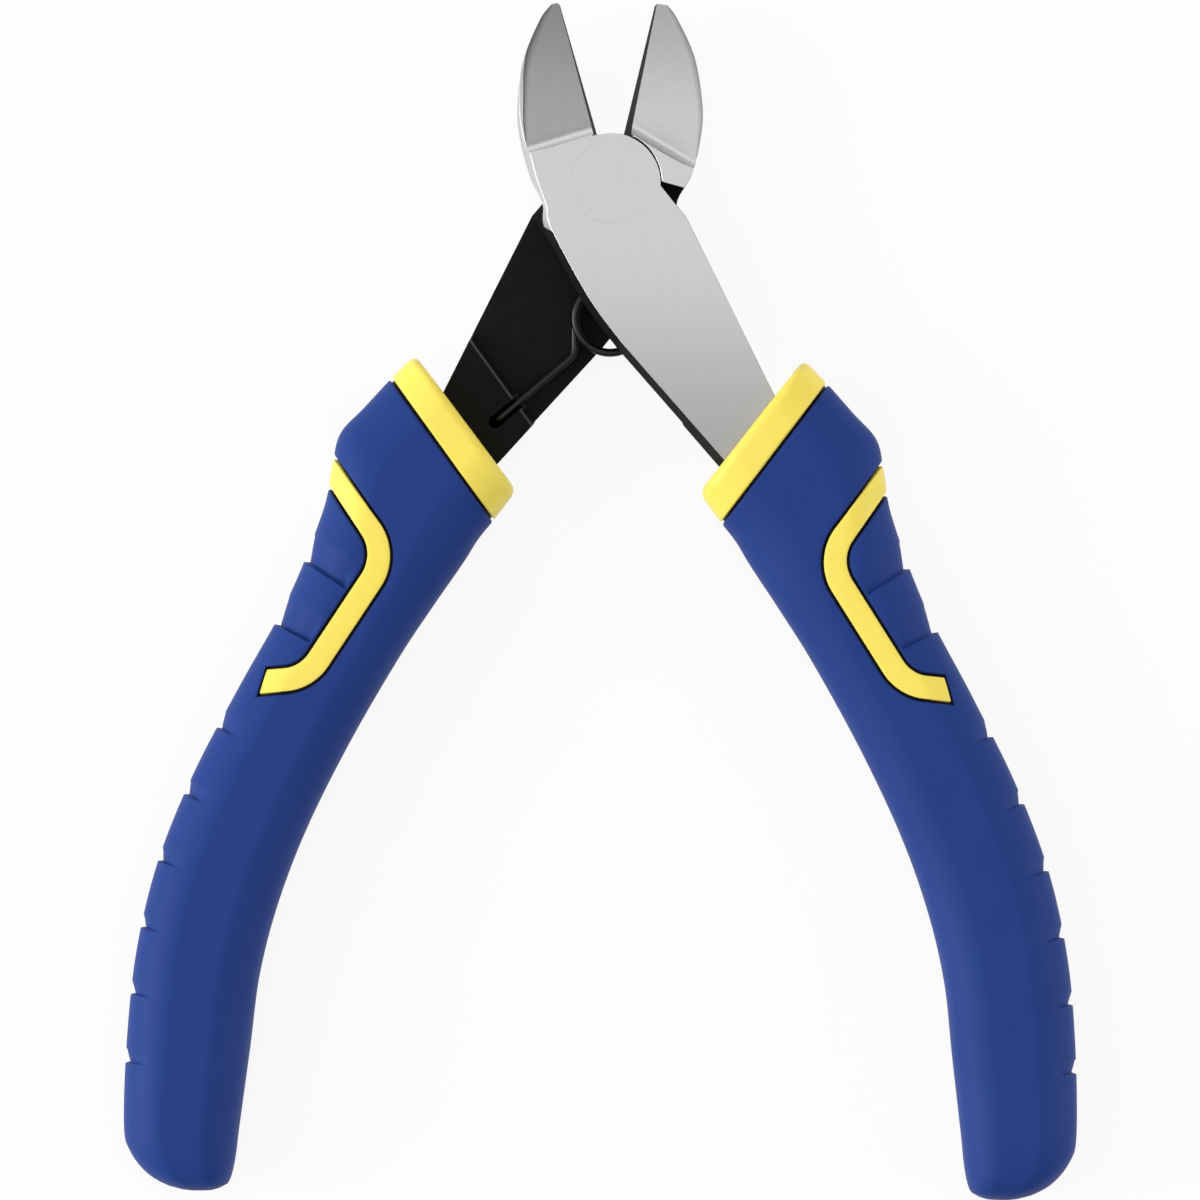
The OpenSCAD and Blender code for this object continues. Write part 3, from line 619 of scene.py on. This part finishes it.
# Channel round the stripe: depth, points of its lip as distance outwards and depth, and depth at which the
# painted shade in it is full
channel_deep = 0.36
lip = ((0.16, 0.0), (0.07, 0.02), (0.02, 0.07), (0.0, 0.14), (-0.03, channel_deep))
seam_dark = 0.16
# Net: spacing along the grip, columns round it, and the strip left clear of knots beside the lip
row_space, columns, clear_of_lip = 0.42, 108, 0.17


def eased(v, low, high):
    """A smooth step from 0 at low to 1 at high."""
    f = np.clip((v - low) / (high - low), 0, 1)
    return f * f * (3 - 2 * f)


def saw_tooth(t, places, run):
    """A tooth at each place along the grip: it starts with a little of its depth, deepens over the run by a
    power of the way along, and ends in a step."""
    start, bow, just_past = 0.2, 1.2, 1.0001
    along_it = 1 + (t[..., None] - np.asarray(places)) / run
    within = (along_it > 0) & (along_it < just_past)
    return np.max(np.where(within, start + (1 - start) * np.clip(along_it, 0, 1) ** bow, 0), axis=-1)


def worn_in(t, angle, bare):
    """Depth of the thumb grooves, from the outer side to the stripe, and of the notches in the outer side."""
    share = power(np.cos(angle), 2 / section_power)
    thumb_fade = eased(share, bare + groove_fade[0], bare + groove_fade[1])
    thumb = groove_deep * saw_tooth(t, groove_at, groove_run) * thumb_fade
    finger = notch_deep * saw_tooth(t, notch_at, notch_run) * eased(share, *notch_fade)
    return thumb + finger


def inside(points, loop):
    """Which points lie in a closed line, by counting the line's crossings on one side of each."""
    a, b = loop, np.roll(loop, -1, axis=0)
    x, y = points[:, :1], points[:, 1:]
    spans = (a[:, 1] > y) != (b[:, 1] > y)
    rise = np.where(b[:, 1] == a[:, 1], 1e-12, b[:, 1] - a[:, 1])
    return np.sum(spans & (x < a[:, 0] + (y - a[:, 1]) * (b[:, 0] - a[:, 0]) / rise), axis=1) % 2 == 1


def soft_cover():
    """The cover's outside as a net over the lengths along and round the grip. The net's knots are an even
    grid, closer at the steps of the grooves, and lines that follow the stripe's channel. Each knot is put on
    the grip's surface and pressed in by the depth of the channel, groove or notch there. It also gives a
    painted shade for each knot, dark in the channel and under the collar."""
    # Places along and insets of the hidden end, the rounded edge beside the collar and the first plain row
    end_at, end_inset, edge_at, edge_run, edge_inset, plain_from = 0.9, 0.32, 1.03, 0.07, 0.2, 1.12
    groove_rows = (-groove_run, -0.6 * groove_run, -0.25 * groove_run, 0, step_run)
    notch_rows = (-notch_run, -0.5 * notch_run, 0, step_run)
    steps = [g + d for g in groove_at for d in groove_rows]
    steps += [g + d for g in notch_at for d in notch_rows]
    steps = np.array(steps)
    plain_run = np.arange(np.interp(plain_from, fine_t, run_at), run_at[-1], row_space)
    plain = np.interp(plain_run, run_at, fine_t)
    clear_of_step = 0.018
    plain = plain[np.min(abs(plain[:, None] - steps), axis=1) > clear_of_step]
    t_rows = np.sort(np.concatenate([plain, steps, [butt_end]]))
    ease = np.linspace(0, np.pi / 2, 6)
    top = [(end_at, end_inset, 0), (end_at, end_inset, 1), (edge_at, end_inset, 1)]
    top += [(edge_at + edge_run * (1 - np.cos(e)), edge_inset * (1 - np.sin(e)), 1) for e in ease]
    rows = [*top, *((t, 0, 1) for t in t_rows), (butt_end, 0, 0.6), (butt_end, 0, 0)]
    t, inset, shrink = np.array(rows).T
    # Rows that turn inwards at both ends are spread out in the net, so that none lie on each other
    spread = 0.3
    run = np.interp(t, fine_t, run_at)
    run[:len(top)] = run[len(top)] - spread * np.arange(len(top), 0, -1)
    run[-2:] = run[-3] + (spread, 2 * spread)
    turn = np.linspace(round_at[0], round_at[-1], columns + 1)
    grid = np.stack(np.meshgrid(run, turn, indexing="ij"), -1).reshape(-1, 2)
    loops = []
    for wider, _ in lip:
        upper = to_the_back(stripe_edge(1, stripe_gap + wider))
        lower = to_the_back(stripe_edge(-1, stripe_gap + wider))
        loops.append(np.concatenate([upper, lower[::-1]]))
    # Knots of the grid on the lip's slope or too close to it are left out, as the lines take their place
    near = (grid[:, 0] > loops[0][:, 0].min() - 1) & (grid[:, 0] < loops[0][:, 0].max() + 1)
    gap = np.ones(len(grid))
    for loop in (loops[0], loops[-1]):
        far = np.linalg.norm(grid[near][:, None] - loop[None], axis=-1).min(axis=1)
        gap[near] = np.minimum(gap[near], far)
    within = inside(grid, loops[0]) & ~inside(grid, loops[-1])
    grid = grid[(gap > clear_of_lip) & ~within]
    deep = channel_deep * inside(grid, loops[-1])
    knots = np.concatenate([grid, *loops])
    deep = np.concatenate([deep, *(np.full(len(loop), d) for loop, (_, d) in zip(loops, lip))])
    first = len(grid)
    links = []
    for loop in loops:
        i = np.arange(len(loop))
        links += np.stack([first + i, first + (i + 1) % len(loop)], -1).tolist()
        first += len(loop)
    net = delaunay_2d_cdt([Vector(k) for k in knots.tolist()], links, [], 0, 1e-7)
    source = np.array([ids[0] for ids in net[3]])
    place, sunk = knots[source], deep[source]
    t_at, angle = np.interp(place[:, 0], run, t), np.interp(place[:, 1], round_at, fine_angle)
    # The channel's edge as a share of the half width, where the thumb grooves end
    bare_edge = stripe_edge(1, stripe_gap + lip[0][0])
    bare_t = np.interp(bare_edge[::-1, 0], run_at, fine_t)
    bare_share = power(np.cos(np.interp(bare_edge[::-1, 1], round_at, fine_angle)), 2 / section_power)
    order = np.argsort(bare_t)
    bare = np.interp(t_at, bare_t[order], bare_share[order])
    on_skin = (place[:, 0] > run[len(top)]) & (place[:, 0] < run[-3])
    deep = np.where(on_skin, sunk + np.where(sunk > 0, 0, worn_in(t_at, angle, bare)), 0)
    drawn_in = np.interp(place[:, 0], run, inset)
    points = grip_skin(t_at, angle, drawn_in, np.interp(place[:, 0], run, shrink))
    # Painted shade: knots sunk in the channel, and the edge drawn in under the collar, darken with their
    # depth
    seam = np.maximum(np.clip(sunk / seam_dark, 0, 1), np.clip(drawn_in / seam_dark, 0, 1))
    return points - grip_normal(t_at, angle) * deep[:, None], net[2], seam


def soft_blue():
    """Thermoplastic rubber from a spark-textured mould: a deep matte blue with a fine even grain, painted
    near black as shade in the stripe's channel and in the groove under the collar.
    """
    material, tree, shader, place = blank_material("soft_blue_rubber")
    # The mould's grain is under a tenth of a millimetre across, and is drawn coarser so that it shows
    patch, grain = 7 * mm, 0.16 * mm
    cloud = add(tree, "TexNoise", {"Vector": place, "Scale": 1 / patch, "Detail": 3.0})
    speck = add(tree, "TexNoise", {"Vector": place, "Scale": 1 / grain, "Detail": 2.0})
    blues = {0: cloud.outputs[0], 6: linear("#1B377C"), 7: linear("#223E84")}
    blue = add(tree, "Mix", blues, data_type="RGBA")
    seam = add(tree, "Attribute", attribute_name="seam").outputs["Fac"]
    # Painted shade in the channel and in the groove under the collar: the blue is mixed towards near black
    colour = add(tree, "Mix", {0: seam, 6: blue.outputs[2], 7: linear("#070B1C")}, data_type="RGBA")
    tree.links.new(colour.outputs[2], shader.inputs["Base Color"])
    matte = add(tree, "MapRange", {0: speck.outputs[0], 3: 0.50, 4: 0.66})
    tree.links.new(matte.outputs[0], shader.inputs["Roughness"])
    relief = add(tree, "Bump", {"Height": speck.outputs[0], "Strength": 0.22, "Distance": 0.03 * mm})
    tree.links.new(relief.outputs[0], shader.inputs["Normal"])
    shader.inputs["IOR"].default_value = 1.5
    shader.inputs["Specular IOR Level"].default_value = 0.14
    return material


blue_finish = soft_blue()
cover_points, cover_faces, cover_seam = soft_cover()
for side, turn, lever in (("right", 1, "front_lever"), ("left", -1, "rear_lever")):
    turned = cover_points * (turn, 1, turn)
    cover = shape(f"{side}_cover", turned, cover_faces, blue_finish, sharp=32, seam=cover_seam)
    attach(cover, lever)
    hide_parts(f"{side}_grip_cover")

# The tool lies on a white table under soft lamps, the strongest one to the left, and
# is seen from straight above. The table shows white to the camera and in the steel.

# Table: half its width and its distance under the tool in metres, and the share of it that is plain white
table_reach, table_drop, table_glow = 6.0, 0.05 * mm, 0.9
# Sky: direction of its brightest part, how fast it falls off, and its least and greatest brightness
sky_way, sky_power, sky_least, sky_most = (-0.2, -0.06, 0.978), 3.0, 0.05, 1.29
# Lamps: name, place in metres, width in metres and watts
lamps = (("key", (-1.0, -0.1, 0.38), 0.6, 10.0), ("fill", (1.0, 0.05, 0.32), 0.8, 5.5),
         ("brow", (-0.2, 1.0, 0.36), 0.7, 3.0))
# Picture: pixels across, pixels in a millimetre, the rivet's pixel and degrees of roll
photo_size, photo_scale, photo_rivet, photo_roll = 1200, 11.0, (611.5, 183.0), 0.684
camera_height = 1500.0


def white_table():
    """Matte white board, shown at the brightness of white paper with a trace of the tool's shadow."""
    material, tree, shader, _ = blank_material("white_table")
    shader.inputs["Base Color"].default_value = linear("#F4F4F4")
    shader.inputs["Roughness"].default_value = 0.9
    ray = add(tree, "LightPath")
    straight, mirrored = ray.outputs["Is Camera Ray"], ray.outputs["Is Glossy Ray"]
    seen = add(tree, "Math", {0: straight, 1: mirrored}, operation="MAXIMUM")
    share = add(tree, "Math", {0: seen.outputs[0], 1: table_glow}, operation="MULTIPLY")
    glow = add(tree, "Emission", {"Color": linear("#FFFFFF"), "Strength": 1.0})
    both = add(tree, "MixShader", {0: share.outputs[0], 1: shader.outputs[0], 2: glow.outputs[0]})
    tree.links.new(both.outputs[0], tree.nodes["Material Output"].inputs["Surface"])
    return material


table_mesh = bpy.data.meshes.new("table")
corners = [(-table_reach, -table_reach, -table_drop), (table_reach, -table_reach, -table_drop),
           (table_reach, table_reach, -table_drop), (-table_reach, table_reach, -table_drop)]
table_mesh.from_pydata(corners, [], [(0, 1, 2, 3)])
table_mesh.materials.append(white_table())
table = bpy.data.objects.new("table", table_mesh)
bpy.context.scene.collection.objects.link(table)

world = bpy.data.worlds.new("studio")
world.use_nodes = True
sky = world.node_tree.nodes["Background"]
towards = add(world.node_tree, "TexCoord").outputs["Generated"]
facing = add(world.node_tree, "VectorMath", {0: towards, 1: sky_way}, operation="DOT_PRODUCT")
above = add(world.node_tree, "Math", {0: facing.outputs["Value"], 1: 0.0}, operation="MAXIMUM")
dome = add(world.node_tree, "Math", {0: above.outputs[0], 1: sky_power}, operation="POWER")
soft = add(world.node_tree, "MapRange", {0: dome.outputs[0], 3: sky_least, 4: sky_most})
ray = add(world.node_tree, "LightPath").outputs["Is Camera Ray"]
level = add(world.node_tree, "Mix", {0: ray, 2: soft.outputs[0], 3: 1.0})
world.node_tree.links.new(level.outputs[0], sky.inputs["Strength"])
sky.inputs["Color"].default_value = linear("#FFFFFF")
bpy.context.scene.world = world
bpy.context.scene.view_settings.view_transform = "Standard"

for name, at, wide, watts in lamps:
    lamp = bpy.data.lights.new(name, "AREA")
    lamp.size = wide
    lamp.energy = watts
    held = bpy.data.objects.new(name, lamp)
    held.location = at
    held.rotation_euler = Vector(at).to_track_quat("Z", "Y").to_euler()
    bpy.context.scene.collection.objects.link(held)

lens = bpy.data.cameras.new("camera")
camera = bpy.data.objects.new("camera", lens)
roll = radians(photo_roll)
off = (photo_size / 2 - np.array(photo_rivet)) * (1, -1) / photo_scale
centre = (off[0] * np.cos(roll) - off[1] * np.sin(roll), off[0] * np.sin(roll) + off[1] * np.cos(roll))
camera.location = in_frame((*centre, camera_height))
camera.rotation_euler = (0, 0, roll)
lens.lens = lens.sensor_width * camera_height * photo_scale / photo_size
bpy.context.scene.collection.objects.link(camera)
bpy.context.scene.camera = camera
